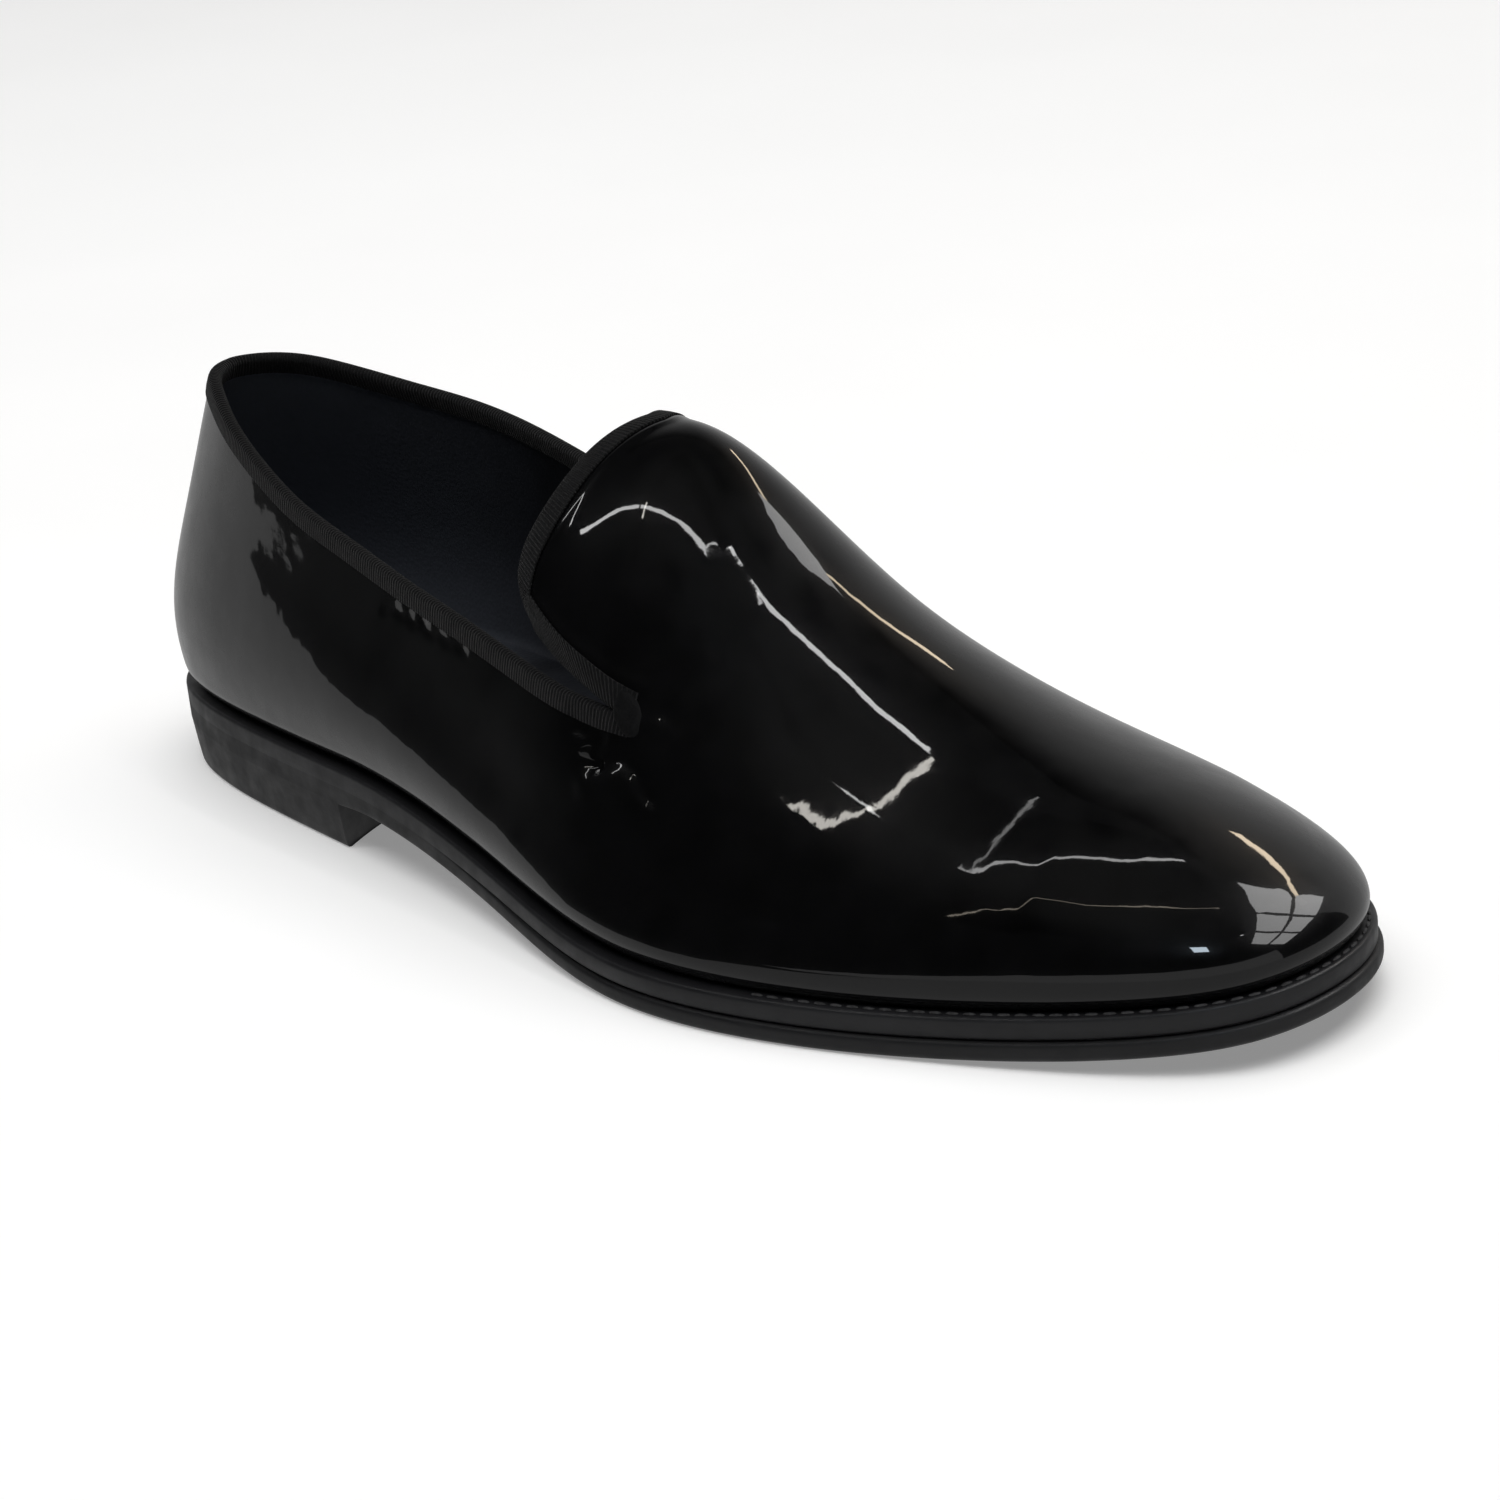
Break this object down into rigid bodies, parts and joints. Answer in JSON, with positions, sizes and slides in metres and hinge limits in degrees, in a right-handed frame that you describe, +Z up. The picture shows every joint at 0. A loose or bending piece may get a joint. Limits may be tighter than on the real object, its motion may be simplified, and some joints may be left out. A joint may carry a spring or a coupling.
{
  "type": "dress shoe",
  "caption": "Right slip-on dress shoe in glossy black patent with a rounded tongue, ribbon-bound edges, a slim stepped sole and a low block heel.",
  "frame": {"origin": "on the floor, under the middle of the shoe's bounding box", "axes": "+X from the heel to the toe, +Y to the medial (inner) side, +Z up from the floor"},
  "size_m": [0.3004, 0.1064, 0.094],
  "materials": {
    "patent_leather": "high gloss patent",
    "ribbon": "matt ribbed weave",
    "lining_leather": "matt",
    "sole_edge": "satin",
    "sole": "satin"
  },
  "bodies": {
    "root": {"upper": "patent_leather", "collar_binding": "ribbon", "tongue_binding": "ribbon", "insole": "lining_leather", "midsole": "sole_edge", "outsole": "sole", "heel": "sole"}
  },
  "joints": []
}
